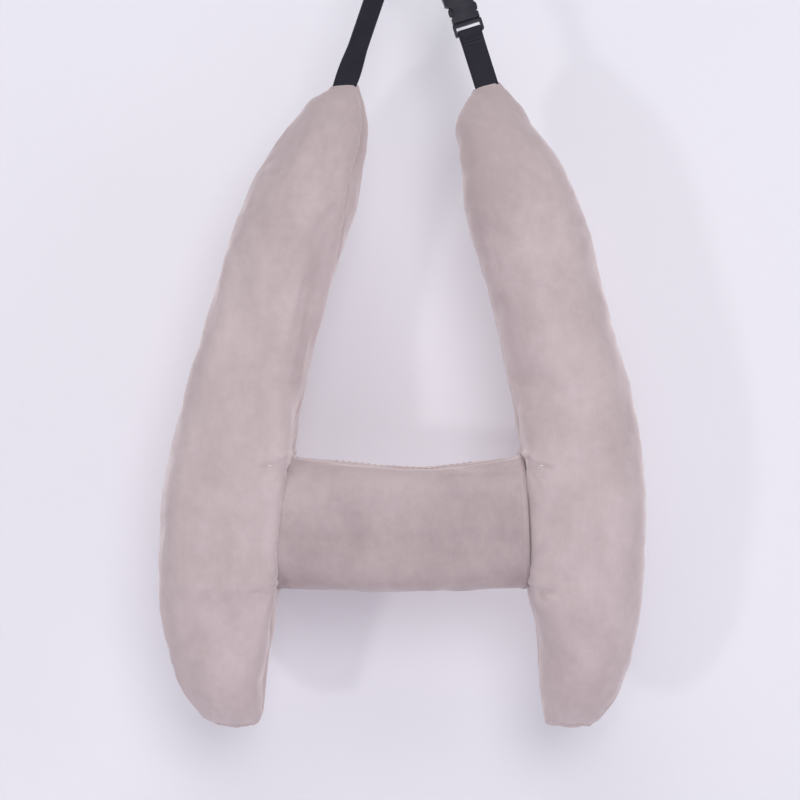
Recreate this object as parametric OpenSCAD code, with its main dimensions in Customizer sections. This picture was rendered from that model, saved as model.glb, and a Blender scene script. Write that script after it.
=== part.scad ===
/* [Cushions] */
// Height of the two arms, from the sewn tips to the closed lower ends
arm_h = 546; // [500:1:600]
// Width of an arm at its fullest
arm_w = 100; // [90:1:104]
// Depth of an arm at its fullest, front to back
arm_d = 94; // [90:1:110]
// Distance between the centres of the two tips
tip_span = 120; // [110:1:130]
// Distance between the centres of the two arms at their fullest
arm_span = 314; // [306:1:330]
// Length of the crossbar along its top edge
crossbar_l = 198; // [190:1:204]
// Height of the crossbar
crossbar_h = 110; // [90:1:116]
// Depth of the crossbar, front to back
crossbar_d = 84; // [70:1:86]
// Distance from the tips down to the crossbar's top edge
crossbar_drop = 317; // [300:1:330]
// How far the hanging cushions lean to the left by the time they reach the crossbar
hang_lean = 12; // [0:1:15]
// Thickness of the cover fabric
cover_t = 1.5; // [1:0.1:2.5]

/* [Strap] */
// Width of the webbing
web_w = 20; // [18:0.5:20]
// Thickness of the webbing
web_t = 1.3; // [1:0.1:1.4]
// Height of the strap's apex over the arm tips
strap_rise = 169; // [165:1:190]
// Radius of the rail or post that the strap's apex wraps round
wrap_r = 8; // [6:0.5:10]

/* [Buckle] */
// Width of the buckle
buckle_w = 28; // [28:0.5:30]
// Thickness of the buckle's socket
buckle_t = 8.5; // [8:0.1:8.5]
// Distance along the right strap from the tip to the buckle's fixed bar
buckle_up = 47; // [45:1:50]

/* [Hidden] */

fabric_colour = [0.76, 0.69, 0.68];
seam_colour = [0.66, 0.59, 0.58];
filling_colour = [0.95, 0.95, 0.93];
webbing_colour = [0.12, 0.12, 0.14];
thread_colour = [0.2, 0.2, 0.22];
plastic_colour = [0.09, 0.09, 0.11];

// The arm from its hinge line down, one row a station, all in percent: how far down the arm,
// how far out from the tip's line to the fullest line, half width and half depth.
ARM_STATIONS = [
    [0, 0, 26, 9], [0.9, 3, 37, 18], [2.3, 6, 48, 33], [5.4, 11, 62, 54], [9, 19, 75, 70],
    [13, 28, 86, 82], [17.9, 36, 94, 90], [23, 45, 98, 95], [30, 56, 98, 96],
    [40, 70, 98, 98], [51, 85, 100, 100], [59, 94, 102, 100], [66, 99, 100, 100],
    [73, 100, 98, 98], [80.5, 100, 93, 94], [88, 98, 81, 81], [93.5, 93, 66, 62],
    [97, 88, 53, 36], [98.6, 85.5, 45, 9], [100, 83, 38, 0]
];
rings_per_station = 2;
ring_sides = 24;
nose_rings = 3;

nose_r = arm_d / 2 * 0.09;
hinge_z = -strap_rise - nose_r - 0.4;
arm_bottom_z = hinge_z - arm_h;
crossbar_top_z = hinge_z + nose_r - crossbar_drop;
crossbar_bottom_z = crossbar_top_z - crossbar_h;
crossbar_mid_z = (crossbar_top_z + crossbar_bottom_z) / 2;
// How far the middle of the crossbar hangs below its ends
crossbar_sag = 3;
// Outward slope of the joint between crossbar and arm, and of the arms' closed lower ends
joint_slope = 0.068;
end_slant = 0.3;
// The arm is pressed flat against the crossbar a little above and below it
flat_margin = 25;
// Room that a cover leaves for its filling at the ends of a crossbar or arm
min_half = 0.4;

// The right strap leans over towards the apex; its own frame starts at the right tip
tip_x = tip_span / 2 - 2.5;
strap_angle = atan((tip_x - wrap_r / 2) / strap_rise);
strap_l = norm([tip_x - wrap_r / 2, strap_rise]);
strap_back = 5.3;
tail_start = buckle_up + 14;
hem_l = 8;
web_gap = 0.35;

// Buckle, measured up the strap from the middle of its fixed bar
bar_r = 1.8;
loop_r = 2;
slot_top = 6;
frame_top = 9.2;
frame_t = 5;
frame_w = web_w + 5.4;
prong_root_x = 8.4;
prong_root_z = 10.4;
prong_root_r = 1.3;
prong_t = 4.2;
socket_bottom = 9.6;
socket_top = 32;
ladder_top = 41;
tongue_w = 5;
throat_w = 23.6;
cavity_w = 21.4;
window_low = 15.5;
window_high = 23.5;
shoulder_z = 24;
waist_r = 6.5;
waist_w = 17.6;
running_gap = 0.35;
$fn = 48;

// ---- Shared functions ----

function clamp01(x) = min(1, max(0, x));
function smooth01(x) = let (u = clamp01(x)) u * u * (3 - 2 * u);
function signed_power(x, p) = sign(x) * pow(abs(x), p);

// Smooth curve through four neighbouring values, at u from 0 to 1 between the middle two
function curve_through(a, b, c, d, u) =
    b + u / 2 * (c - a + u * (2 * a - 5 * b + 4 * c - d + u * (3 * (b - c) + d - a)));

function station(s) =
    let (last = len(ARM_STATIONS) - 1, i = min(floor(s), last - 1), u = s - i)
    curve_through(
        ARM_STATIONS[max(i - 1, 0)], ARM_STATIONS[i],
        ARM_STATIONS[i + 1], ARM_STATIONS[min(i + 2, last)], u
    );

// Sideways lean of the hanging cushions at height z; it grows evenly all the way past the crossbar
function lean(z) = -2.5 - hang_lean * clamp01((hinge_z - z) / (hinge_z - crossbar_bottom_z + crossbar_sag + 1));

// Distance of the joint plane between crossbar and arm from the cushions' middle line
function joint_x(z) = crossbar_l / 2 + (crossbar_top_z - z) * joint_slope;

// 1 where the arm is pressed flat against the crossbar, falling to 0 above and below
function pressed(z) =
    smooth01(1 - (abs(z - crossbar_mid_z) - crossbar_h / 2 - flat_margin) / flat_margin);

// ---- Lofts ----

// Two triangles for each cell of a grid of points; wrap joins the last column to the first
function grid_faces(rows, cols, start, wrap, flip) = [
    for (i = [0 : rows - 2], j = [0 : wrap ? cols - 1 : cols - 2])
        let (a = start + i * cols + j, b = start + i * cols + (j + 1) % cols, c = b + cols, d = a + cols)
        each (flip ? [[c, b, a], [d, c, a]] : [[a, b, c], [a, c, d]])
];

// Two triangles for each cell between two equally long lists of point numbers
function strip_faces(first, second, flip) = [
    for (i = [0 : len(first) - 2])
        let (a = first[i], b = first[i + 1], c = second[i + 1], d = second[i])
        each (flip ? [[c, b, a], [d, c, a]] : [[a, b, c], [a, c, d]])
];

function backwards(list) = [for (i = [len(list) - 1 : -1 : 0]) list[i]];

// A closed solid through rings of points that run clockwise, seen from the first ring
module solid_loft(rings) {
    rows = len(rings);
    cols = len(rings[0]);
    first = [for (j = [0 : cols - 1]) j];
    last = [for (j = [0 : cols - 1]) (rows - 1) * cols + j];
    polyhedron(
        [for (ring = rings) each ring],
        concat(
            grid_faces(rows, cols, 0, true, false),
            [backwards(first)],
            [last]
        )
    );
}

// A shell between outer and inner grids of such points; wrap closes it into a tube
module shell_loft(outer, inner, wrap) {
    rows = len(outer);
    cols = len(outer[0]);
    half = rows * cols;
    across = [for (j = [0 : wrap ? cols : cols - 1]) j % cols];
    along = [for (i = [0 : rows - 1]) i * cols];
    end = (rows - 1) * cols;
    edge = cols - 1;
    sides = wrap ? [] : concat(
        strip_faces(along, [for (i = along) half + i], false),
        strip_faces([for (i = along) edge + i], [for (i = along) half + edge + i], true)
    );
    polyhedron(
        [each [for (ring = outer) each ring], each [for (ring = inner) each ring]],
        concat(
            grid_faces(rows, cols, 0, wrap, false),
            grid_faces(rows, cols, half, wrap, true),
            strip_faces(across, [for (j = across) half + j], true),
            strip_faces([for (j = across) end + j], [for (j = across) half + end + j], false),
            sides
        )
    );
}

// ---- Arms ----

// Stations from the top of the rounded tip to the closed lower end: height, out, half width, half depth
ARM_RINGS = concat(
    [
        for (i = [nose_rings : -1 : 1])
            let (a = 90 * i / nose_rings)
            [hinge_z + nose_r * sin(a), 0, ARM_STATIONS[0][2] - 2 * (1 - cos(a)), ARM_STATIONS[0][3] * cos(a)]
    ],
    [
        for (i = [0 : (len(ARM_STATIONS) - 1) * rings_per_station])
            let (s = station(i / rings_per_station))
            [hinge_z - arm_h * s[0] / 100, s[1], s[2], s[3]]
    ]
);

// One point of an arm's surface; angle 0 is the outer side and 180 the side that faces the crossbar
function arm_point(ring, angle, side, inset) =
    let (
        whole = arm_h + nose_r,
        mid_z = arm_bottom_z + whole / 2,
        z = mid_z + (ring[0] - mid_z) * (whole - 2 * inset) / whole,
        out = tip_span / 2 + (arm_span - tip_span) / 2 * ring[1] / 100,
        half_w = max(arm_w / 2 * ring[2] / 100 - inset, min_half),
        half_d = inset > 0 ? max(arm_d / 2 * ring[3] / 100 - inset, min_half) : arm_d / 2 * ring[3] / 100,
        press = pressed(z),
        c = cos(angle),
        flat = out - half_w + press * (joint_x(z) + inset - out + half_w),
        x = c >= 0
            ? out + half_w * c
            : max(flat, out - half_w * (1 + 0.4 * press) * pow(-c, 1 - 0.85 * press)),
        slant = end_slant * smooth01((arm_bottom_z + 0.16 * arm_h - z) / (0.16 * arm_h))
    )
    [side * x + lean(z), half_d * signed_power(sin(angle), 0.95), z + slant * (x - out)];

function arm_rings(side, inset, from, to) = [
    for (ring = ARM_RINGS) [
        for (j = [from : to])
            arm_point(ring, 360 * (side > 0 ? j : from + to - j) / ring_sides, side, inset)
    ]
];

// Front and back panels meet along the arm's two sides
module arm_panel(side, front) {
    from = front ? ring_sides / 2 : 0;
    to = from + ring_sides / 2;
    shell_loft(arm_rings(side, 0, from, to), arm_rings(side, cover_t, from, to), false);
}

module arm_filling(side) {
    solid_loft(arm_rings(side, cover_t, 0, ring_sides - 1));
}

// A row of short stitches through both panels, along the line from one point to another
module stitch_row(from, to, count, thickness, r) {
    for (i = [0 : count - 1])
        translate(from + (to - from) * (i + 0.5) / count)
            cube([norm(to - from) / count * 0.62, thickness, r * 2], center = true);
}

module closing_stitches(side) {
    out = tip_span / 2 + (arm_span - tip_span) / 2 * 0.835;
    half = arm_w / 2 * 0.34;
    z = arm_bottom_z + 4;
    mid = side * out + lean(z);
    stitch_row([mid - half, 0, z - side * end_slant * half], [mid + half, 0, z + side * end_slant * half],
        12, 8.5, 0.4);
}

module tip_stitches(side) {
    mid = side * tip_span / 2 + lean(hinge_z);
    stitch_row([mid - 9, 0, hinge_z], [mid + 9, 0, hinge_z], 7, nose_r * 2 + 0.8, 0.35);
}

// ---- Crossbar ----

crossbar_rings_n = 9;
// Room between the crossbar's ends and the arms
joint_gap = 0.6;

function crossbar_ring(t, inset) = [
    for (j = [0 : ring_sides - 1])
        let (
            a = -360 * j / ring_sides,
            sag = -crossbar_sag * (1 - t * t),
            plump = 1 - 0.03 * t * t,
            y = (crossbar_d / 2 * plump - inset) * signed_power(cos(a), 0.85),
            z = crossbar_mid_z + sag + (crossbar_h / 2 - inset) * signed_power(sin(a), 0.85)
        )
        [t * (joint_x(z) - joint_gap) + lean(z), y, z]
];

function crossbar_rings(inset) = [
    for (i = [0 : crossbar_rings_n - 1]) crossbar_ring(-1 + 2 * i / (crossbar_rings_n - 1), inset)
];

module crossbar_closing_seam() {
    translate([lean(crossbar_mid_z), 0, crossbar_top_z - 3])
        stitch_row([-60, 12, -0.5], [60, 12, -0.5], 22, 1.2, 1.6);
}

// ---- Webbing ----

// A strip of webbing through stations of [point, direction across, direction through]
module webbing(stations) {
    solid_loft([
        for (s = stations)
            let (w = s[1] * web_w / 2, n = s[2] * web_t / 2)
            [s[0] - w + n, s[0] + w + n, s[0] + w - n, s[0] - w - n]
    ]);
}

// A point of the right strap's own frame, in the part's frame
function up_strap(x, y, z) = [
    tip_x + x * cos(strap_angle) - z * sin(strap_angle), y,
    -strap_rise + x * sin(strap_angle) + z * cos(strap_angle)
];

left_tip = [-tip_span / 2 - 2.5, 0, -strap_rise];
left_top = [-wrap_r / 2, -wrap_r, 0];
left_across = [cos(strap_angle), 0, -sin(strap_angle)];
right_across = [cos(strap_angle), 0, sin(strap_angle)];
wrap_steps = 10;
left_steps = 6;

LONG_STRAP = concat(
    [
        for (i = [0 : left_steps])
            let (u = i / left_steps)
            [
                left_tip + (left_top - left_tip) * u,
                i == 0 ? [1 / cos(strap_angle), 0, 0] : left_across,
                [0, 1, 0]
            ]
    ],
    [
        for (i = [1 : wrap_steps - 1])
            let (u = i / wrap_steps, a = 180 * u)
            [
                [wrap_r * (u - 0.5), -wrap_r * cos(a), wrap_r * sin(a)],
                [cos(strap_angle), sin(strap_angle) * sin(a), -sin(strap_angle) * cos(a)],
                [0, cos(a), -sin(a)]
            ]
    ],
    [
        for (z = [strap_l, strap_l - 12, strap_l - 30])
            let (u = clamp01((z - strap_l + 30) / 30))
            [up_strap(0, strap_back + (wrap_r - strap_back) * u, z), right_across, [0, -1, 0]]
    ],
    [[up_strap(0, strap_back, tail_start), right_across, [0, -1, 0]]]
);

module in_strap_frame(up) {
    translate([tip_x, 0, -strap_rise])
        rotate([0, -strap_angle, 0])
            translate([0, 0, up])
                children();
}

module long_strap_hem() {
    in_strap_frame(tail_start)
        translate([-web_w / 2, strap_back + web_t / 2, 0])
            cube([web_w, web_t, hem_l]);
}

// Side view of the short strap: two layers that join in a loop round the buckle's fixed bar
module short_strap_outline() {
    outer = loop_r + web_t;
    foot = -6;
    arc_steps = 10;
    polygon(concat(
        [[-web_t - 0.05, foot]],
        [for (i = [0 : arc_steps]) [-outer * cos(180 * i / arc_steps), buckle_up + outer * sin(180 * i / arc_steps)]],
        [[web_t + 0.05, foot], [0.05, foot]],
        [for (i = [arc_steps : -1 : 0]) [-loop_r * cos(180 * i / arc_steps), buckle_up + loop_r * sin(180 * i / arc_steps)]],
        [[-0.05, foot]]
    ));
}

// ---- Buckle ----

module rounded_plate(w, h, r) {
    square([w - 2 * r, h], center = true);
    square([w, h - 2 * r], center = true);
    for (x = [-1, 1], y = [-1, 1])
        translate([x * (w / 2 - r), y * (h / 2 - r)])
            circle(r);
}

// Stands a flat outline up in the strap's frame, with its thickness along Y
module upright(thickness) {
    rotate([90, 0, 0])
        linear_extrude(thickness, center = true)
            children();
}

module prong_outline() {
    polygon([
        [prong_root_x - 1, prong_root_z - 0.6], [7.3, 17], [6.9, 23], [7.6, 27.4], [8.8, 28.2],
        [9.9, 27.4], [10.3, 23.6], [12, 22.6], [12.6, 20.6], [12.5, 18], [12, 16.4], [10.1, 16],
        [9.9, 13], [prong_root_x + 1, prong_root_z - 0.6]
    ]);
}

// ---- Sub-parts ----

module left_arm_front_panel() { color(fabric_colour) arm_panel(-1, true); }
module left_arm_back_panel() { color(fabric_colour * 0.95) arm_panel(-1, false); }
module left_arm_filling() { color(filling_colour) arm_filling(-1); }
module right_arm_front_panel() { color(fabric_colour) arm_panel(1, true); }
module right_arm_back_panel() { color(fabric_colour * 0.95) arm_panel(1, false); }
module right_arm_filling() { color(filling_colour) arm_filling(1); }

module crossbar_cover() {
    color(fabric_colour * 0.97)
        shell_loft(crossbar_rings(0), crossbar_rings(cover_t), true);
}

module crossbar_filling() {
    color(filling_colour)
        solid_loft(crossbar_rings(cover_t));
}

module left_arm_closing_stitches() { color(seam_colour) closing_stitches(-1); }
module right_arm_closing_stitches() { color(seam_colour) closing_stitches(1); }
module left_tip_stitches() { color(seam_colour) tip_stitches(-1); }
module right_tip_stitches() { color(seam_colour) tip_stitches(1); }

module long_strap() {
    color(webbing_colour) {
        webbing(LONG_STRAP);
        long_strap_hem();
    }
}

module long_strap_hem_stitches() {
    color(thread_colour)
        in_strap_frame(tail_start + hem_l * 0.65)
            stitch_row([-8, strap_back + web_t / 2, 0], [8, strap_back + web_t / 2, 0], 6, web_t * 2 + 0.6, 0.3);
}

module short_strap() {
    color(webbing_colour)
        difference() {
            in_strap_frame(0)
                rotate([90, 0, 90])
                    linear_extrude(web_w, center = true)
                        short_strap_outline();
            // Cut off level, just above the tip
            translate([tip_x, 0, -strap_rise - web_w / 2])
                cube(web_w * [2, 1, 1], center = true);
        }
}

module short_strap_stitches() {
    color(thread_colour)
        in_strap_frame(buckle_up - 9)
            for (row = [-1, 1])
                translate([0, 0, row * 1.4])
                    stitch_row([-8, 0, 0], [8, 0, 0], 6, 7.4, 0.3);
}

module buckle_plug_frame() {
    color(plastic_colour)
        in_strap_frame(buckle_up) {
            difference() {
                union() {
                    upright(frame_t)
                        translate([0, (frame_top - bar_r) / 2])
                            rounded_plate(frame_w, frame_top + bar_r, 1.6);
                    upright(2)
                        translate([0, (frame_top + 25) / 2])
                            rounded_plate(tongue_w, 27 - frame_top, 1.4);
                }
                translate([0, 0, slot_top / 2 - 1])
                    cube([web_w + 0.9, frame_t + 1, slot_top + 2], center = true);
                for (x = [-1, 1])
                    translate([x * prong_root_x, 0, prong_root_z])
                        rotate([90, 0, 0])
                            cylinder(r = prong_root_r + running_gap, h = frame_t + 1, center = true);
            }
            rotate([0, 90, 0])
                cylinder(r = bar_r, h = web_w + 2, center = true);
        }
}

module buckle_prong(side) {
    color(plastic_colour * 1.3)
        in_strap_frame(buckle_up)
            union() {
                upright(prong_t)
                    scale([side, 1])
                        prong_outline();
                translate([side * prong_root_x, 0, prong_root_z])
                    rotate([90, 0, 0])
                        cylinder(r = prong_root_r, h = prong_t, center = true);
            }
}

module buckle_left_prong() { buckle_prong(-1); }
module buckle_right_prong() { buckle_prong(1); }

// Front view of the socket: a narrow throat, a waist that bares the prongs, and square shoulders
module socket_outline() {
    difference() {
        union() {
            translate([0, (socket_bottom + shoulder_z) / 2])
                rounded_plate(throat_w, shoulder_z - socket_bottom + 4, 1.2);
            translate([0, (shoulder_z + ladder_top) / 2])
                rounded_plate(buckle_w, ladder_top - shoulder_z, 2.2);
        }
        translate([-buckle_w / 2, socket_bottom - 5])
            square([buckle_w, 5]);
        for (x = [-1, 1])
            translate([x * (waist_w / 2 + waist_r), (window_low + window_high) / 2])
                circle(waist_r);
    }
}

module buckle_socket() {
    keeper_y = strap_back + web_t / 2 + web_gap;
    cavity_top = socket_top - 2.8;
    color(plastic_colour)
        in_strap_frame(buckle_up)
            difference() {
                union() {
                    upright(buckle_t)
                        socket_outline();
                    translate([-buckle_w / 2, buckle_t / 2 - 2, ladder_top - 9])
                        cube([buckle_w, keeper_y + 2.2 - buckle_t / 2 + 2, 6]);
                }
                // Room for the plug's tongue and prongs, with a window on each side
                translate([0, 0, (socket_bottom - 1 + cavity_top) / 2])
                    cube([cavity_w, prong_t + 1, cavity_top - socket_bottom + 1], center = true);
                translate([0, 0, (window_low + window_high) / 2])
                    cube([buckle_w + 2, prong_t + 1, window_high - window_low], center = true);
                // Window of the ladder, and the way through for the strap
                translate([0, 0, ladder_top - 6.2])
                    cube([web_w + 2 * running_gap, buckle_t + 1, 5], center = true);
                translate([-web_w / 2 - running_gap, strap_back - web_t / 2 - web_gap, 20])
                    cube([web_w + 2 * running_gap, web_t + 2 * web_gap, 30]);
            }
}

left_arm_front_panel();
left_arm_back_panel();
left_arm_filling();
right_arm_front_panel();
right_arm_back_panel();
right_arm_filling();
crossbar_cover();
crossbar_filling();
crossbar_closing_seam();
left_arm_closing_stitches();
right_arm_closing_stitches();
left_tip_stitches();
right_tip_stitches();
long_strap();
long_strap_hem_stitches();
short_strap();
short_strap_stitches();
buckle_plug_frame();
buckle_left_prong();
buckle_right_prong();
buckle_socket();
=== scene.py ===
"""Looks of the hanging travel pillow, built round its CAD frame. Lengths are in metres."""
import math

import bmesh
import bpy
import numpy as np
from mathutils import Matrix, Vector, noise
from mathutils.bvhtree import BVHTree


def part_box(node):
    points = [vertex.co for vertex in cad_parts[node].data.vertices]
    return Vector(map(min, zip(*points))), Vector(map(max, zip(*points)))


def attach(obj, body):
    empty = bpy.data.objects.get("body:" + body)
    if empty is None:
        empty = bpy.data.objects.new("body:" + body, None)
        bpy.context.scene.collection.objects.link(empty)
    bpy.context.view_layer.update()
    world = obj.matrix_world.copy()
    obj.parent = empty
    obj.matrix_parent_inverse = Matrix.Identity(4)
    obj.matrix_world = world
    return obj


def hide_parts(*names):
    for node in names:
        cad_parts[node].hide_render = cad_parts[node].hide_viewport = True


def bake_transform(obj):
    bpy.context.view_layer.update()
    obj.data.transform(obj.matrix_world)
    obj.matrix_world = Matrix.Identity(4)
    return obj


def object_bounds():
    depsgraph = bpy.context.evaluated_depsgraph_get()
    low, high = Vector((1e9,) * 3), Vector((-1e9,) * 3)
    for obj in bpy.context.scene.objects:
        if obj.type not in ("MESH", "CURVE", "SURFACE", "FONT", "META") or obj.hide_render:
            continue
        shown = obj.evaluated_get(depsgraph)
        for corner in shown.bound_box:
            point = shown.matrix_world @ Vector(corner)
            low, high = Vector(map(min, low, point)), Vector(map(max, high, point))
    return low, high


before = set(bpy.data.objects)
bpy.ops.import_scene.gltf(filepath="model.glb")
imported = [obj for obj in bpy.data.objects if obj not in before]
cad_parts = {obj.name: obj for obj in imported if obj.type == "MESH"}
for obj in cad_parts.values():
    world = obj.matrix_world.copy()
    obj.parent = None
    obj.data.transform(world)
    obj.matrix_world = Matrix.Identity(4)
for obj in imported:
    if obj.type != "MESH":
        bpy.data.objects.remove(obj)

MM = 0.001
CAD_LOW, CAD_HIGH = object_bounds()
scene = bpy.context.scene
SIDES = {-1: "left", 1: "right"}

# Cover fabric
COVER_T = 1.2 * MM
FILLING_GAP = 0.3 * MM
# How far below the top of its tip an arm's filling begins, clear of the strap's sewn foot
FILLING_DOWN = 13 * MM
ARM_SIM_GRID = (104, 56)
ARM_FINE_GRID = (300, 156)
BAR_SIM_GRID = (36, 60)
BAR_FINE_GRID = (150, 180)
BAR_REACH = 1.6 * MM
SIM_FRAMES = 20
PRESSURE = 4
WRINKLE_CAP = 5 * MM
END_SLANT = 0.3
END_SLANT_LENGTH = 90 * MM
# Share of that slant which an arm's lower end has lost in sewing, for each side
END_LEVELLED = {-1: 0.85, 1: 1.05}
# How far the corners of each lower end are rounded up
END_DOME = {-1: 3.5 * MM, 1: 1.0 * MM}
# How closely the first rows lie to the tip, so that its dome stays round
TIP_ROWS = 0.02
# Height of the crossbar's top corners, where its fabric is drawn up along each arm
BAR_EARS = {-1: 5.5 * MM, 1: 3.5 * MM}
# Slope of the top of each tip, which is sewn square to its strap where the strap pulls on it
TIP_SLOPE = {-1: 0.05, 1: 0.3}
TIP_HALF_T = 2.4 * MM
# How deep the covers' edges are turned in, at the arms' seams and at the crossbar's ends
SEAM_TUCK = 3.2 * MM
BAR_TUCK = 5 * MM
# Height of an arm's panels away from their seams
PANEL_PROUD = 0.9 * MM
# Radius that turns an angle round an arm into a distance
ARM_R = 40 * MM
# Roundness of the crossbar's end outline: an ellipse has 2, a squarer outline more
END_ROUNDNESS = 2.35
# Spare cloth that wrinkles, as a share of its size, and the share of the arms' wrinkles that is kept
ARM_SLACK = 0.025
BAR_SLACK = 0.008
WRINKLES_KEPT = 0.55

# Webbing. BACK and UP are distances behind the right tip's middle plane and up its strap
WEB_W = 20 * MM
WEB_T = 1.3 * MM
STRAP_BACK = 5.3 * MM
BUCKLE_UP = 47 * MM
TAIL_UP = 61 * MM
HEM_L = 8 * MM
BAR_LOOP_R = 2.65 * MM
STRAP_SUNK = 5.5 * MM
STRAP_TWIST = math.radians(30)

# Stitches: rings along each one, and points round each ring
STITCH_RINGS = 9
STITCH_SIDES = 8

# Camera and stage
LENS = 80
CAMERA_LEFT = 2.7 * MM
CAMERA_BACK = 1.511
CAMERA_DOWN = 446.4 * MM
WALL_GAP = 75 * MM
FLOOR_GAP = 220 * MM
SWEEP_R = 100 * MM
SWEEP_STEPS = 12
WALL_TOP = 1.6
STAGE_REACH = 4.0
# Lights: name, place from the pillow's middle, size, power in watts, colour
LIGHTS = [
    ("key", (-1.25, -1.75, -0.50), 0.2, 5.5, (1.0, 0.98, 0.98)),
    ("front", (0.3, -1.9, 0.45), 1.0, 13, (0.99, 0.98, 1.0)),
    ("right", (1.7, -0.9, 0.2), 1.0, 4, (1.0, 0.98, 0.98)),
    ("top", (-0.2, -1.2, 1.8), 1.4, 13, (0.98, 0.98, 1.0)),
    ("back_left", (-1.1, 1.5, 0.7), 1.0, 16, (1.0, 0.98, 0.98)),
    ("back_right", (1.3, 1.4, 0.2), 1.0, 12, (1.0, 0.98, 0.98)),
]


# ---- Numbers and grids of points ----

def smooth01(x):
    u = np.clip(x, 0, 1)
    return u * u * (3 - 2 * u)


def lump(distance, width):
    return np.exp(-((distance / width) ** 2))


def noise_at(points, size, seed):
    """Smooth noise from -1 to 1 at each point, in patches as wide as size."""
    shift = Vector((seed * 17.3, seed * 5.1, seed * 9.7))
    values = [noise.noise(Vector(p) + shift) for p in points.reshape(-1, 3) / size]
    return np.array(values).reshape(points.shape[:-1])


def interpolated(points, at, wrap):
    """Smooth curve through the points along the first axis, at fractional places along it."""
    count = len(points)
    low = np.floor(at).astype(int)
    u = (at - low).reshape((-1,) + (1,) * (points.ndim - 1))

    def neighbour(step):
        return points[(low + step) % count if wrap else np.clip(low + step, 0, count - 1)]

    a, b, c, d = (neighbour(step) for step in (-1, 0, 1, 2))
    return b + u / 2 * (c - a + u * (2 * a - 5 * b + 4 * c - d + u * (3 * (b - c) + d - a)))


def finer(grid, rows, cols):
    """A grid with closed columns, on more rows and columns."""
    tall = interpolated(grid, np.linspace(0, len(grid) - 1, rows), False)
    turned = tall.swapaxes(0, 1)
    wide = interpolated(turned, np.arange(cols) * grid.shape[1] / cols, True)
    return wide.swapaxes(0, 1)


def angles_round(rows, cols):
    """Each column's angle round a tube in degrees, for every row."""
    return np.broadcast_to(np.arange(cols) * 360 / cols, (rows, cols))


def outward_normals(grid):
    """Unit normals of a grid with closed columns."""
    down = np.gradient(grid, axis=0)
    around = np.roll(grid, -1, axis=1) - np.roll(grid, 1, axis=1)
    normals = np.cross(down, around)
    normals /= np.maximum(np.linalg.norm(normals, axis=2, keepdims=True), 1e-12)
    outwards = (normals * (grid - grid.mean(axis=1, keepdims=True))).sum()
    return normals * np.sign(outwards)


def blurred(field, times):
    for _ in range(times):
        padded = np.pad(field, ((1, 1), (0, 0)), mode="edge")
        sides = np.roll(field, 1, axis=1) + np.roll(field, -1, axis=1)
        field = (2 * field + padded[:-2] + padded[2:] + sides) / 6
    return field


# ---- Meshes ----

def mesh_object(name, verts, faces, material):
    mesh = bpy.data.meshes.new(name)
    mesh.from_pydata([tuple(v) for v in verts], [], faces)
    mesh.validate()
    mesh.update()
    obj = bpy.data.objects.new(name, mesh)
    scene.collection.objects.link(obj)
    if material:
        mesh.materials.append(material)
    mesh.shade_smooth()
    return obj


def face_outwards(obj):
    bm = bmesh.new()
    bm.from_mesh(obj.data)
    bmesh.ops.recalc_face_normals(bm, faces=bm.faces)
    bm.to_mesh(obj.data)
    bm.free()
    return obj


def grid_quads(rows, cols, wrap, start=0):
    corners = ((0, 0), (0, 1), (1, 1), (1, 0))
    return [
        tuple(start + (i + down) * cols + (j + across) % cols for down, across in corners)
        for i in range(rows - 1)
        for j in range(cols if wrap else cols - 1)
    ]


def tube_object(name, grid, material):
    """A closed solid through rings of points."""
    rows, cols = grid.shape[:2]
    faces = grid_quads(rows, cols, True)
    faces.append(tuple(range(cols)))
    faces.append(tuple((rows - 1) * cols + j for j in range(cols)))
    return face_outwards(mesh_object(name, grid.reshape(-1, 3), faces, material))


def shell_object(name, outer, inner, wrap, material):
    """Fabric of real thickness between an outer and an inner grid of points."""
    rows, cols = outer.shape[:2]
    half = rows * cols
    faces = grid_quads(rows, cols, wrap) + grid_quads(rows, cols, wrap, half)
    last = (rows - 1) * cols
    for j in range(cols if wrap else cols - 1):
        k = (j + 1) % cols
        faces.append((j, k, half + k, half + j))
        faces.append((last + j, last + k, half + last + k, half + last + j))
    if not wrap:
        for i in range(rows - 1):
            for edge in (0, cols - 1):
                a, b = i * cols + edge, (i + 1) * cols + edge
                faces.append((a, b, half + b, half + a))
    verts = np.concatenate([outer.reshape(-1, 3), inner.reshape(-1, 3)])
    return face_outwards(mesh_object(name, verts, faces, material))


def cad_surface(*nodes):
    verts, faces = [], []
    for node in nodes:
        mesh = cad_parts[node].data
        start = len(verts)
        verts += [v.co.copy() for v in mesh.vertices]
        faces += [[start + k for k in p.vertices] for p in mesh.polygons]
    return BVHTree.FromPolygons(verts, faces)


def from_outside(surface, middle, direction):
    """Where a ray that comes in along a direction towards a middle point first meets a surface."""
    unit = Vector(direction).normalized()
    hit = surface.ray_cast(Vector(middle) + unit * 0.25, -unit)[0]
    return hit if hit else Vector(middle)


def middle(node):
    low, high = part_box(node)
    return (low + high) / 2


def tip_middle(side):
    """Middle of the stitches that hold a strap, on the hinge line."""
    return middle(f"{SIDES[side]}_tip_stitches")


def fit_pad(piece, node):
    """A padded piece of the pillow, which stands for a CAD node."""
    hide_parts(node)
    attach(piece, "pillow")


def make_filling(name, node, surface):
    """The stuffing under a cushion's surface."""
    inside = surface - outward_normals(surface) * (COVER_T + FILLING_GAP)
    fit_pad(tube_object(name, inside, FILLING), node)


# ---- Materials ----

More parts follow.
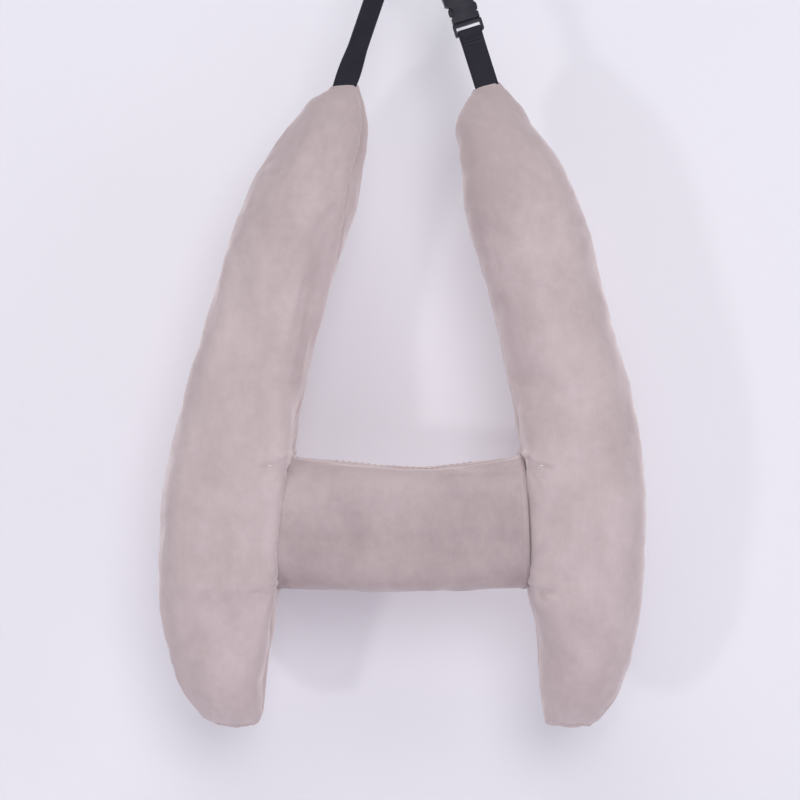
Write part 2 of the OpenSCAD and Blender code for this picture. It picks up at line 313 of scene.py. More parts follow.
class Nodes:
    """A material's node tree, with short calls for the nodes that these materials use."""

    def __init__(self, name):
        self.material = bpy.data.materials.new(name)
        self.material.use_nodes = True
        self.tree = self.material.node_tree
        self.shader = self.tree.nodes["Principled BSDF"]

    def add(self, kind, **settings):
        node = self.tree.nodes.new(kind)
        for key, value in settings.items():
            setattr(node, key, value)
        return node

    def link(self, source, target):
        self.tree.links.new(source, target)

    def place(self, scale=(1, 1, 1)):
        """Object coordinates, stretched by scale."""
        coordinates = self.add("ShaderNodeTexCoord")
        mapping = self.add("ShaderNodeMapping")
        mapping.inputs["Scale"].default_value = scale
        self.link(coordinates.outputs["Object"], mapping.inputs["Vector"])
        return mapping.outputs["Vector"]

    def noise(self, place, scale, detail=2.0, roughness=0.5):
        node = self.add("ShaderNodeTexNoise")
        node.inputs["Scale"].default_value = scale
        node.inputs["Detail"].default_value = detail
        node.inputs["Roughness"].default_value = roughness
        self.link(place, node.inputs["Vector"])
        return node.outputs["Fac"]

    def spread(self, value, low, high, out_low=0.0, out_high=1.0):
        node = self.add("ShaderNodeMapRange")
        limits = ("From Min", "From Max", "To Min", "To Max")
        for key, number in zip(limits, (low, high, out_low, out_high)):
            node.inputs[key].default_value = number
        self.link(value, node.inputs["Value"])
        return node.outputs["Result"]

    def math(self, operation, a, b):
        node = self.add("ShaderNodeMath", operation=operation)
        for socket, value in zip(node.inputs, (a, b)):
            if isinstance(value, (int, float)):
                socket.default_value = value
            else:
                self.link(value, socket)
        return node.outputs["Value"]

    def mix(self, factor, a, b):
        node = self.add("ShaderNodeMix", data_type="RGBA")
        self.link(factor, node.inputs["Factor"])
        for key, value in (("A", a), ("B", b)):
            socket = next(s for s in node.inputs if s.name == key and s.type == "RGBA")
            if isinstance(value, tuple):
                socket.default_value = (*value, 1)
            else:
                self.link(value, socket)
        return next(s for s in node.outputs if s.type == "RGBA")

    def bump(self, height, distance, strength=1.0, before=None):
        node = self.add("ShaderNodeBump")
        node.inputs["Distance"].default_value = distance
        node.inputs["Strength"].default_value = strength
        self.link(height, node.inputs["Height"])
        if before:
            self.link(before, node.inputs["Normal"])
        return node.outputs["Normal"]

    def finish(self, colour, normal, **values):
        self.link(colour, self.shader.inputs["Base Color"])
        self.link(normal, self.shader.inputs["Normal"])
        for key, value in values.items():
            self.shader.inputs[key.replace("_", " ")].default_value = value
        return self.material


def velvet(name, dark, light, seam, painted_shading_z, painted_shading):
    """Short plush: soft patches where the pile lies differently, finer mottling, faint rows and a fine pile.

    Painted light and shade: the colour is made lighter or darker, by the two amounts in the last argument,
    from one height to the other in the argument before it.
    """
    n = Nodes(name)
    parts = n.add("ShaderNodeSeparateXYZ")
    n.link(n.place(), parts.inputs["Vector"])
    # Painted light and shade: lighter or darker with height, for how the light falls from above
    painted_shading_shift = n.spread(parts.outputs["Z"], *painted_shading_z, *painted_shading)
    patches = n.spread(n.noise(n.place((1, 1, 0.7)), 21, 3, 0.55), 0.36, 0.64)
    mottle = n.spread(n.noise(n.place(), 120, 4, 0.62), 0.3, 0.7)
    rows = n.noise(n.place((1, 1, 0.05)), 620, 2)
    pile = n.noise(n.place(), 1900, 3, 0.7)
    shade = n.math("ADD", n.math("MULTIPLY", patches, 0.5), n.math("MULTIPLY", mottle, 0.3))
    shade = n.math("ADD", shade, n.math("MULTIPLY", rows, 0.2))
    shade = n.math("ADD", shade, painted_shading_shift)
    colour = n.mix(shade, dark, light)
    specks = n.spread(pile, 0.3, 0.75, 0.0, 0.35)
    colour = n.mix(specks, colour, seam)
    normal = n.bump(pile, 0.35 * MM, 0.55)
    normal = n.bump(n.noise(n.place(), 260, 3, 0.6), 0.5 * MM, 0.3, normal)
    n.shader.inputs["Sheen Tint"].default_value = (1.0, 0.95, 0.96, 1)
    return n.finish(
        colour, normal, Roughness=0.92, Sheen_Weight=0.62, Sheen_Roughness=0.38,
        Specular_IOR_Level=0.12,
    )


def webbing_material():
    """Flat polyester webbing: ribs across it, in three lengthwise bands."""
    n = Nodes("webbing")
    route = n.add("ShaderNodeAttribute", attribute_name="route")
    parts = n.add("ShaderNodeSeparateXYZ")
    n.link(route.outputs["Vector"], parts.inputs["Vector"])
    across = n.math("MULTIPLY", parts.outputs["X"], 2 * math.pi / (1.6 * MM))
    along = n.math("MULTIPLY", parts.outputs["Y"], 2 * math.pi / (1.15 * MM))
    warp = n.math("SINE", across, 0)
    weft = n.math("SINE", n.math("ADD", along, n.math("MULTIPLY", warp, 1.6)), 0)
    weave = n.math("ADD", n.math("MULTIPLY", weft, 0.6), n.math("MULTIPLY", warp, 0.4))
    height = n.spread(weave, -1, 1)
    fuzz = n.noise(n.place(), 2600, 2)
    worn = n.spread(n.noise(n.place(), 60, 3), 0.35, 0.7, 0.0, 0.3)
    # Painted highlight: the raised ribs of the weave are painted lighter than the hollows between them
    colour = n.mix(height, (0.005, 0.005, 0.009), (0.016, 0.0145, 0.026))
    colour = n.mix(worn, colour, (0.023, 0.020, 0.036))
    normal = n.bump(height, 0.22 * MM, 0.8)
    normal = n.bump(fuzz, 0.08 * MM, 0.5, normal)
    return n.finish(
        colour, normal, Roughness=0.66, Sheen_Weight=0.05, Specular_IOR_Level=0.25,
    )


def thread_material(name, dark, light):
    """Twisted thread: slanted bands along it."""
    n = Nodes(name)
    twist = n.add("ShaderNodeTexWave", bands_direction="DIAGONAL")
    twist.inputs["Scale"].default_value = 560
    twist.inputs["Distortion"].default_value = 0.6
    n.link(n.place(), twist.inputs["Vector"])
    fibres = n.noise(n.place(), 3200, 2)
    height = n.math("ADD", n.math("MULTIPLY", twist.outputs["Fac"], 0.7), n.math("MULTIPLY", fibres, 0.3))
    colour = n.mix(height, dark, light)
    normal = n.bump(height, 0.12 * MM, 0.8)
    return n.finish(colour, normal, Roughness=0.7, Sheen_Weight=0.2, Specular_IOR_Level=0.3)


def plastic_material():
    """Moulded acetal: satin, faintly grained, duller where it has been handled."""
    n = Nodes("buckle_plastic")
    grain = n.noise(n.place(), 2400, 3, 0.6)
    handled = n.spread(n.noise(n.place(), 140, 3), 0.35, 0.65)
    colour = n.mix(handled, (0.010, 0.008, 0.016), (0.016, 0.013, 0.024))
    n.link(n.spread(handled, 0, 1, 0.36, 0.5), n.shader.inputs["Roughness"])
    normal = n.bump(grain, 0.03 * MM, 0.5)
    return n.finish(colour, normal, Specular_IOR_Level=0.22)


def filling_material():
    """White hollow-fibre filling: loose lumps and fine fibres."""
    n = Nodes("filling")
    lumps = n.noise(n.place(), 70, 4, 0.6)
    fibres = n.noise(n.place((1, 1, 0.15)), 1500, 3, 0.7)
    colour = n.mix(lumps, (0.72, 0.72, 0.70), (0.88, 0.88, 0.86))
    normal = n.bump(lumps, 1.5 * MM, 0.5)
    normal = n.bump(fibres, 0.3 * MM, 0.6, normal)
    return n.finish(colour, normal, Roughness=0.95, Sheen_Weight=0.3)


VELVET = velvet(
    "cover_fabric", (0.465, 0.385, 0.39), (0.625, 0.53, 0.535), (0.39, 0.315, 0.32),
    # Painted shade: the arms are painted darker towards their tips, above the lower of these heights
    (-0.32, -0.21), (0.0, -0.6),
)
BAR_LOW, BAR_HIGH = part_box("crossbar_cover")
# Painted shade: the crossbar's velvet is the arms' velvet painted darker, for the shade of the recessed
# crossbar
BAR_VELVET = velvet(
    "crossbar_fabric", (0.39, 0.315, 0.32), (0.54, 0.45, 0.455), (0.34, 0.27, 0.275),
    # Painted light and shade: the crossbar is painted lighter at its top and darker lower down
    (BAR_LOW.z + 50 * MM, BAR_HIGH.z - 8 * MM), (-0.25, 0.4),
)
WEBBING = webbing_material()
COVER_THREAD = thread_material("cover_thread", (0.38, 0.30, 0.31), (0.66, 0.56, 0.57))
STRAP_THREAD = thread_material("webbing_thread", (0.010, 0.010, 0.012), (0.045, 0.044, 0.052))
PLASTIC = plastic_material()
FILLING = filling_material()


# ---- Cloth ----

def blown_up(name, grid, pinned, slack):
    """The grid after its cloth has swelled between its pinned points, with some slack fabric."""
    rows, cols = grid.shape[:2]
    obj = mesh_object(name, grid.reshape(-1, 3), grid_quads(rows, cols, True), None)
    group = obj.vertex_groups.new(name="pinned")
    group.add([int(k) for k in np.flatnonzero(pinned)], 1.0, "REPLACE")
    cloth = obj.modifiers.new("Cloth", "CLOTH")
    settings = cloth.settings
    settings.quality = 3
    settings.mass = 0.2
    settings.tension_stiffness = 10
    settings.compression_stiffness = 10
    settings.shear_stiffness = 5
    settings.bending_stiffness = 0.35
    settings.use_pressure = True
    settings.uniform_pressure_force = PRESSURE
    settings.vertex_group_mass = "pinned"
    settings.shrink_min = -slack
    settings.effector_weights.gravity = 0
    cloth.collision_settings.use_collision = False
    for number in range(1, SIM_FRAMES + 1):
        scene.frame_set(number)
    result = obj.evaluated_get(bpy.context.evaluated_depsgraph_get()).to_mesh()
    points = np.array([v.co for v in result.vertices]).reshape(grid.shape)
    bpy.data.objects.remove(obj)
    scene.frame_set(1)
    return points


def wrinkles(name, grid, pinned, slack):
    """How far the cloth's wrinkles stand off the grid, along its normals; its broad swelling is left out."""
    normals = outward_normals(grid)
    start = grid - normals * (2 * MM)
    swollen = blown_up(name, start, pinned.ravel(), slack)
    offset = ((swollen - start) * normals).sum(axis=2)
    return np.clip(offset - blurred(offset, 60), -WRINKLE_CAP, WRINKLE_CAP)


# ---- Arms ----

# The tables from here to the gathers are in millimetres. Fuller or flatter places: arm's side, distance
# below the tip's hinge line, angle (0 outer side, 90 front, 180 inner side), width down, round, height
LUMPS = [
    (1, 34, 178, 18, 30, 4.5),
    (1, 96, 178, 52, 34, 4.6),
    (1, 45, 178, 7, 16, -1.4),
    (1, 262, 8, 62, 34, 3.8),
    (1, 449, 178, 26, 30, -7),
    (1, 535, 2, 34, 24, 1.5),
    (-1, 34, 4, 34, 34, 3.2),
    (-1, 120, 178, 120, 34, -3.0),
    (-1, 438, 178, 20, 30, -4.0),
    (-1, 505, 4, 30, 24, 1.5),
    (-1, 90, 70, 40, 22, 1.2),
    (-1, 215, 105, 30, 26, -1.0),
    (1, 190, 80, 34, 24, 1.2),
]
# Creases: arm's side, distance below the hinge line, angle, slant of the crease, half length, depth
CREASES = [
    (1, 108, 62, 0.9, 20, 0.9),
    (1, 172, 96, -0.25, 18, 0.8),
    (1, 303, 48, 0.35, 22, 0.8),
    (-1, 522, 62, 0.12, 16, 1.5),
    (-1, 245, 120, 0.5, 20, 0.7),
    (1, 430, 100, -0.4, 24, 0.6),
]
# Gathers that fan out from the crossbar's corners: slope away from it, length, depth
TOP_GATHERS = [
    (14, 20, 1.9),
    (-14, 30, 3.0),
    (-40, 26, 2.5),
    (-64, 32, 1.6),
]
BOTTOM_GATHERS = [
    (26, 18, 1.8),
    (-2, 25, 3.0),
    (-30, 21, 2.4),
]


def row_depth(share):
    """How far down the arm a row lies, both as shares of the whole."""
    return share**2 * (1 + TIP_ROWS) / (share + TIP_ROWS)


def seam_turn(side, below):
    """How far the outer and inner seams are turned towards the front, in degrees."""
    if side < 0:
        return 0 * below, 30 * lump(below - 85 * MM, 60 * MM) + 20 * lump(below, 40 * MM)
    return 26 * smooth01((below - 480 * MM) / (50 * MM)), 0 * below


def arm_grid(side, rows, cols):
    """Points on the CAD arm, with the seams along column 0 and the middle column."""
    panels = [f"{SIDES[side]}_arm_front_panel", f"{SIDES[side]}_arm_back_panel"]
    surface = cad_surface(*panels)
    low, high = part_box(panels[0])
    top = high.z - 0.1 * MM
    bottom = low.z + (high.z - low.z) * 0.0145
    tip = tip_middle(side)
    centre = Vector((tip.x, 0, top))
    grid = np.zeros((rows, cols, 3))
    for i in range(rows):
        z = top + (bottom - top) * row_depth(i / (rows - 1))
        slant = END_SLANT * float(smooth01((bottom + END_SLANT_LENGTH - z) / END_SLANT_LENGTH))
        for _ in range(3):
            centre.z = z
            outer = from_outside(surface, centre, (side, 0, slant))
            inner = from_outside(surface, centre, (-side, 0, -slant))
            centre.x = (outer.x + inner.x) / 2
        half_w = abs(outer.x - inner.x) / 2
        half_d = abs(from_outside(surface, centre, (0, -1, 0)).y)
        outer_turn, inner_turn = (float(v) for v in seam_turn(side, np.array(tip.z - z)))
        for j in range(cols):
            share = 2 * j / cols
            start, end = outer_turn, 180 - inner_turn
            angle = start + (end - start) * share if share < 1 else end + (360 + start - end) * (share - 1)
            c, s = math.cos(math.radians(angle)), math.sin(math.radians(angle))
            direction = (side * half_w * c, -max(half_d, 1 * MM) * s, slant * half_w * c)
            point = from_outside(surface, centre, direction)
            level = -END_LEVELLED[side] * slant * side * (point.x - centre.x)
            grid[i, j] = (point.x, point.y, point.z + level)
    return grid


def joint_ring(side):
    """The crossbar's end on one side: its top point, its lowest outer point and its half depth."""
    points = [v.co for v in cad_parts["crossbar_cover"].data.vertices]
    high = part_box("crossbar_cover")[1]
    top = max((p for p in points if p.z > high.z - 1 * MM), key=lambda p: side * p.x)
    bottom = min((p for p in points if side * p.x > side * top.x), key=lambda p: p.z)
    return top, bottom, high.y


JOINTS = {side: joint_ring(side) for side in SIDES}


def joint_x(side, z):
    """Where the plane between the crossbar and an arm lies at a height."""
    top, bottom, _ = JOINTS[side]
    return top.x + (bottom.x - top.x) * (z - top.z) / (bottom.z - top.z)


def distance_to_seams(grid):
    """Distance round the arm from each point to the nearer of its two seams."""
    steps = np.linalg.norm(np.roll(grid, -1, axis=1) - grid, axis=2)
    around = np.concatenate([np.zeros((len(grid), 1)), np.cumsum(steps, axis=1)], axis=1)
    whole = around[:, -1:]
    around = around[:, :-1]
    inner = around[:, [grid.shape[1] // 2]]
    return np.minimum.reduce([around, whole - around, np.abs(around - inner)])


def ring_distance(side, grid):
    """Distance from the crossbar's end outline, angle round it, distance outside it and behind it."""
    top, bottom, half_d = JOINTS[side]
    half_h = (top.z - bottom.z) / 2
    y = grid[..., 1]
    z = grid[..., 2] - (top.z + bottom.z) / 2
    power = END_ROUNDNESS
    size = (np.abs(y / half_d) ** power + np.abs(z / half_h) ** power) ** (1 / power)
    beside = (size - 1) * (half_d + half_h) / 2
    behind = side * (grid[..., 0] - joint_x(side, grid[..., 2]))
    return np.hypot(beside, np.maximum(behind, 0)), np.arctan2(z, -y), beside, behind


def fabric_relief(grid, below, seed):
    """An arm's panels with their seams, the gathers beside them and soft unevenness."""
    seam = distance_to_seams(grid)
    along = np.stack([0 * below, 0 * below, below], axis=2)
    gathers = noise_at(along, 7 * MM, seed) + 0.5 * noise_at(along, 3.4 * MM, seed + 1)
    relief = PANEL_PROUD - 1.5 * MM * lump(seam, 2.6 * MM) - 0.7 * MM * lump(seam, 8 * MM)
    relief += 0.7 * MM * gathers * np.exp(-seam / (7 * MM))
    relief += 0.9 * MM * noise_at(grid, 62 * MM, seed + 2)
    relief += 0.45 * MM * noise_at(grid, 24 * MM, seed + 3)
    relief += 0.10 * MM * noise_at(grid, 9 * MM, seed + 4)
    return relief


def joint_relief(side, grid, seed):
    """Round the crossbar's end seam the arm is drawn in, with gathers that fan out."""
    ring, turn, beside, behind = ring_distance(side, grid)
    fan = np.stack([np.cos(turn), np.sin(turn), 0 * turn], axis=2)
    ridges = noise_at(fan, 0.17, seed + 5) + 0.6 * noise_at(fan, 0.075, seed + 6)
    corners = 0.35 + 0.65 * np.sin(turn) ** 2
    near = (beside > -8 * MM) & (behind < 46 * MM)
    relief = np.where(near, -0.8 * MM * lump(ring, 4 * MM), 0)
    relief += np.where(near, 3.0 * MM * corners * ridges * np.exp(-ring / (12 * MM)), 0)
    top, bottom, _ = JOINTS[side]
    for corner_z, gathers in ((top.z - 2 * MM, TOP_GATHERS), (bottom.z + 1 * MM, BOTTOM_GATHERS)):
        rise = (grid[..., 2] - corner_z) / MM
        back = behind / MM
        reach = np.hypot(back, rise)
        slope = np.degrees(np.arctan2(rise, np.maximum(back, 0) + 0.1))
        for at, long, deep in gathers:
            off = reach * np.sin(np.radians(np.clip(slope - at, -90, 90)))
            shown = smooth01((reach - 3) / 5) * smooth01((long - reach) / (0.6 * long))
            relief += deep * MM * shown * (0.5 * lump(off - 4.2, 2.6) - lump(off, 2.1))
    return relief


def end_relief(grid, below, from_end, seed):
    """Flat gathers that run into the lower end's closing seam, and small ones round the strap."""
    across = np.stack([grid[..., 0], 0 * below, 0.12 * below], axis=2)
    folds = noise_at(across, 9 * MM, seed + 7) + 0.5 * noise_at(across, 4.5 * MM, seed + 8)
    tip_folds = noise_at(across, 7 * MM, seed + 9)
    relief = 2.6 * MM * folds * np.exp(-from_end / (16 * MM))
    return relief + 0.9 * MM * tip_folds * np.exp(-np.maximum(below, 0) / (12 * MM))


def placed_relief(side, angle, below):
    """The lumps and creases that have a place of their own."""
    def round_from(at):
        return np.radians((angle - at + 180) % 360 - 180) * ARM_R / MM

    below = below / MM
    relief = 0 * below
    for where, down, at, tall, wide, height in LUMPS:
        if where == side:
            relief += height * lump(below - down, tall) * lump(round_from(at), wide)
    for where, down, at, slope, half, depth in CREASES:
        if where == side:
            off = below - down - slope * round_from(at)
            shape = 0.6 * lump(off + 6, 4.5) - lump(off, 3.2)
            relief += depth * shape * lump(round_from(at), half)
    return relief * MM


def arm_relief(side, grid, angle, from_end):
    """Height of an arm's seams, puckers, creases and lumps, along its normals."""
    seed = 3.0 + side
    below = tip_middle(side).z - grid[..., 2]
    relief = fabric_relief(grid, below, seed) + joint_relief(side, grid, seed)
    relief += end_relief(grid, below, from_end, seed) + placed_relief(side, angle, below)
    # Against the crossbar's end the arm is held flat
    _, _, beside, behind = ring_distance(side, grid)
    held = smooth01((3 * MM - beside) / (9 * MM)) * smooth01((9 * MM - behind) / (8 * MM))
    relief += held * (PANEL_PROUD - relief)
    # The sewn tip and lower end keep their own shape
    return relief * smooth01((from_end - 1 * MM) / (9 * MM)) * smooth01((below + 4 * MM) / (9 * MM))


def arm_surface(side):
    """An arm's outer surface with its wrinkles and relief, and the distances from its two ends."""
    rows, cols = ARM_SIM_GRID
    coarse = arm_grid(side, rows, cols)
    pinned = np.zeros((rows, cols), bool)
    pinned[:, [0, cols // 2]] = True
    pinned[[0, 1, -2, -1]] = True
    _, _, beside, behind = ring_distance(side, coarse)
    pinned |= (beside < 1 * MM) & (behind < 6 * MM)
    height = WRINKLES_KEPT * blurred(wrinkles(f"{SIDES[side]}_arm_cloth", coarse, pinned, ARM_SLACK), 1)
    rounded = np.stack([blurred(coarse[..., axis], 3) for axis in range(3)], axis=2)
    grid = finer(rounded, *ARM_FINE_GRID)
    height = finer(height[..., None], *ARM_FINE_GRID)[..., 0]
    length = np.linalg.norm(grid[0].mean(axis=0) - grid[-1].mean(axis=0))
    down = row_depth(np.linspace(0, 1, ARM_FINE_GRID[0]))
    angle = angles_round(*ARM_FINE_GRID)
    from_end = length * (1 - down)[:, None] + 0 * angle
    height = height + arm_relief(side, grid, angle, from_end)
    return grid + outward_normals(grid) * height[..., None], length - from_end, from_end


def shape_ends(side, grid, from_tip, from_end):
    """Close an arm's tip round the strap and its lower end flat."""
    angle = angles_round(*ARM_FINE_GRID)
    # These three are views, so what changes them changes the grid
    x, y, z = (grid[..., axis] for axis in range(3))
    middles = x.mean(axis=1, keepdims=True)
    tip_corner = 0.06 * (1 - smooth01(from_tip / (6 * MM)))
    end_corner = 0.26 * np.clip(1 - from_end / (8 * MM), 0, 1) ** 2
    x[:] = middles + (x - middles) * (1 - tip_corner - end_corner)
    # The tip is a thin oval, sewn square to its strap
    round_y = -np.sin(np.radians(angle)) * TIP_HALF_T
    y += (1 - smooth01(from_tip / (5 * MM))) * (round_y - y)
    z += (1 - smooth01(from_tip / (16 * MM))) * TIP_SLOPE[side] * (x - middles)
    # The lower end's corners are rounded up
    half_w = np.abs(x - middles).max(axis=1, keepdims=True)
    outwards = ((x - middles) / np.maximum(half_w, 1 * MM)) ** 2
    z += END_DOME[side] * outwards * (1 - smooth01(from_end / (14 * MM)))
    # It is closed as two flat layers of fabric, a little crumpled
    flap = smooth01((8 * MM - from_end) / (5 * MM))
    front = -np.sign(np.sin(np.radians(angle)) + 1e-6)
    across = np.stack([x, from_end * 0.4, 0 * angle], axis=2)
    layer = np.where(np.isclose(angle % 180, 0), 0, front * (1.3 * MM + 0.06 * from_end))
    y += flap * (layer + 1.6 * MM * noise_at(across, 10 * MM, 21 + side) - y)
    z += flap * 1.2 * MM * noise_at(across, 6 * MM, 24 + side)


def edge_tucked(part, normals, depth):
    """The panel's columns, with its two long edges turned in at the seams."""
    first = part[:, :1] - normals[:, :1] * depth
    last = part[:, -1:] - normals[:, -1:] * depth
    return np.concatenate([first, part, last], axis=1)


def make_arm_covers(side, grid):
    """An arm's front and back panels, which meet along its two seams."""
    normals = outward_normals(grid)
    normals[0] = normals[1]
    normals[-1] = normals[-2]
    half = grid.shape[1] // 2
    for label, start in (("front", 0), ("back", half)):
        columns = np.arange(start, start + half + 1) % (2 * half)
        part, out = grid[:, columns], normals[:, columns]
        outer = edge_tucked(part, out, SEAM_TUCK)
        inner = edge_tucked(part - out * COVER_T, out, SEAM_TUCK - COVER_T)
        inner[:, 0] = inner[:, 1] * 0.3 + inner[:, 0] * 0.7
        inner[:, -1] = inner[:, -2] * 0.3 + inner[:, -1] * 0.7
        piece = shell_object(f"{SIDES[side]}_arm_{label}_cover", outer, inner, False, VELVET)
        fit_pad(piece, f"{SIDES[side]}_arm_{label}_panel")


def make_arm(side):
    """One arm's covers and filling, and the points of its outer surface."""
    grid, from_tip, from_end = arm_surface(side)
    shape_ends(side, grid, from_tip, from_end)
    make_arm_covers(side, grid)
    first = np.searchsorted(from_tip[:, 0], FILLING_DOWN)
    stuffed = grid[first:-9:2, ::2]
    make_filling(f"{SIDES[side]}_arm_stuffing", f"{SIDES[side]}_arm_filling", stuffed)
    return grid


# ---- Crossbar ----

def bar_grid(rows, cols):
    """Points on the CAD crossbar's cover: rows run from its left end to its right, columns round it."""
    surface = cad_surface("crossbar_cover")
    low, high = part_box("crossbar_cover")
    centre = (low + high) / 2
    grid = np.zeros((rows, cols, 3))
    for j in range(cols):
        a = 2 * math.pi * j / cols
        direction = Vector((0, -(high.y - low.y) * math.cos(a), (high.z - low.z) * math.sin(a)))
        hit = from_outside(surface, centre, direction)
        for i in range(rows):
            share = i / (rows - 1)
            for _ in range(3):
                left, right = joint_x(-1, hit.z), joint_x(1, hit.z)
                x = left - BAR_REACH + (right - left + 2 * BAR_REACH) * share
                inside_x = min(max(x, left + 1.2 * MM), right - 1.2 * MM)
                hit = from_outside(surface, Vector((inside_x, centre.y, centre.z)), direction)
            grid[i, j] = (x, hit.y, hit.z)
    return grid


# Folds beside the closing seam: place along the crossbar and half length in millimetres, angle round it
TOP_FOLDS = [
    (-62, 16, 80),
    (2, 30, 82),
    (52, 26, 81),
]


def bar_end_relief(grid, from_end, angle):
    """Folds and gathers along the crossbar's two end seams, and its drawn up top corners."""
    relief = 1.1 * MM * lump(from_end - 3.6 * MM, 1.8 * MM) - 0.9 * MM * lump(from_end, 1.6 * MM)
    gathers = noise_at(grid * np.array([0, 1, 1]), 6 * MM, 31)
    relief += 0.4 * MM * gathers * np.exp(-from_end / (9 * MM))
    ears = np.where(grid[..., 0] < middle("crossbar_cover").x, BAR_EARS[-1], BAR_EARS[1])
    return relief + ears * np.exp(-from_end / (4.5 * MM)) * lump(angle - 88, 26)


def bar_seam_relief(grid, from_end, angle):
    """Closing seam along the top: two lips that gape a little, a valley between them, and folds in front."""
    top = angle - 96
    x = (grid[..., 0] - middle("crossbar_cover").x) / MM
    along = noise_at(grid * np.array([1, 0, 0]), 26 * MM, 34)
    gape = (0.5 * MM + 1.0 * MM * smooth01(0.5 + along)) * smooth01(from_end / (8 * MM))
    relief = gape * (lump(top - 3.2, 2.0) + 0.7 * lump(top + 3.2, 2.0)) - 1.6 * MM * lump(top, 2.0)
    for place, half, at in TOP_FOLDS:
        fold = lump(x - place, half)
        relief -= 1.3 * MM * fold * lump(angle - at - 0.05 * (x - place), 1.3)
        relief += 0.7 * MM * fold * lump(angle - at - 3.4, 2.0)
    return relief


def bar_relief(grid, angle):
    """Height of the crossbar's end folds, closing seam and soft tension lines."""
    from_end = np.minimum(grid[..., 0] - grid[:1, :, 0], grid[-1:, :, 0] - grid[..., 0])
    relief = bar_end_relief(grid, from_end, angle) + bar_seam_relief(grid, from_end, angle)
    relief += 0.7 * MM * noise_at(grid, 60 * MM, 32) + 0.25 * MM * noise_at(grid, 22 * MM, 33)
    # Dip in the top edge, right of its middle
    x = grid[..., 0] - middle("crossbar_cover").x
    relief -= 4.6 * MM * lump(x - 20 * MM, 38 * MM) * lump(angle - 88, 34)
    # Small tuck underneath
    under = lump(x - 12 * MM, 13 * MM)
    relief -= 2.0 * MM * under * lump(angle - 272, 2.2)
    relief += 1.4 * MM * under * lump(angle - 277, 3.5)
    # Soft upright tension lines
    return relief + 0.35 * MM * noise_at(grid * np.array([1, 0.15, 0.08]), 9 * MM, 35)


def make_bar_cover(grid):
    """The crossbar's tube of fabric, with its two ends turned in."""
    normals = outward_normals(grid)
    inward = normals * BAR_TUCK
    outer = np.concatenate([grid[:1] - inward[:1], grid, grid[-1:] - inward[-1:]])
    # The inside is a little shorter at each end, so that the turned ends have thickness too
    shorter = np.array([COVER_T, 0, 0])
    wall = grid - normals * COVER_T
    inner = np.concatenate([
        wall[:1] - inward[:1] * 0.72 + shorter,
        wall + shorter * np.linspace(1, -1, len(grid))[:, None, None],
        wall[-1:] - inward[-1:] * 0.72 - shorter,
    ])
    cover = shell_object("crossbar_outer_cover", outer, inner, True, BAR_VELVET)
    fit_pad(cover, "crossbar_cover")


def make_crossbar():
    """The crossbar's cover and filling, and the points of its outer surface."""
    rows, cols = BAR_SIM_GRID
    coarse = bar_grid(rows, cols)
    pinned = np.zeros((rows, cols), bool)
    pinned[[0, -1]] = True
    height = blurred(wrinkles("crossbar_cloth", coarse, pinned, BAR_SLACK), 2)
    grid = finer(coarse, *BAR_FINE_GRID)
    height = finer(height[..., None], *BAR_FINE_GRID)[..., 0]
    height = height + bar_relief(grid, angles_round(*BAR_FINE_GRID))
    grid = grid + outward_normals(grid) * height[..., None]
    make_bar_cover(grid)
    make_filling("crossbar_stuffing", "crossbar_filling", grid[3:-3:2, ::2])
    return grid


# ---- Straps ----

def webbing_piece(name, stations):
    """Webbing of full width through stations of (point, direction across, direction through)."""
    shares = np.linspace(-1, 1, 15)
    # The selvedges are thinner than the middle
    edge = 1 - 0.3 * smooth01((np.abs(shares) - 0.86) / 0.14)
    rings = []
    route = []
    travelled = 0.0
    for k, (point, across, through) in enumerate(stations):
        if k:
            travelled += (Vector(point) - Vector(stations[k - 1][0])).length
        point, across, through = (np.array(v) for v in (point, across, through))
        near = [point + across * s * WEB_W / 2 + through * e * WEB_T / 2 for s, e in zip(shares, edge)]
        far = [point + across * s * WEB_W / 2 - through * e * WEB_T / 2 for s, e in zip(shares, edge)]
        rings.append(near + far[::-1])
        route += [(s * WEB_W / 2, travelled, 0) for s in (*shares, *shares[::-1])]
    piece = tube_object(name, np.array(rings), WEBBING)
    attribute = piece.data.attributes.new("route", "FLOAT_VECTOR", "POINT")
    attribute.data.foreach_set("vector", np.array(route, dtype=np.float32).ravel())
    return piece


STRAP_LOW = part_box("long_strap")[0]
WRAP_R = -STRAP_LOW.y - WEB_T / 2
BASE_Z = STRAP_LOW.z
HINGE_Z = tip_middle(-1).z
LEFT_X = tip_middle(-1).x
RIGHT_X = tip_middle(1).x
STRAP_ANGLE = math.atan2(RIGHT_X - WRAP_R / 2, -BASE_Z)
UP_RIGHT_STRAP = Vector((-math.sin(STRAP_ANGLE), 0, math.cos(STRAP_ANGLE)))
ACROSS_RIGHT = Vector((math.cos(STRAP_ANGLE), 0, math.sin(STRAP_ANGLE)))
STRAP_L = math.hypot(RIGHT_X - WRAP_R / 2, BASE_Z)


def on_right_strap(across, back, up):
    base = Vector((RIGHT_X, 0, BASE_Z))
    return base + ACROSS_RIGHT * across + Vector((0, back, 0)) + UP_RIGHT_STRAP * up


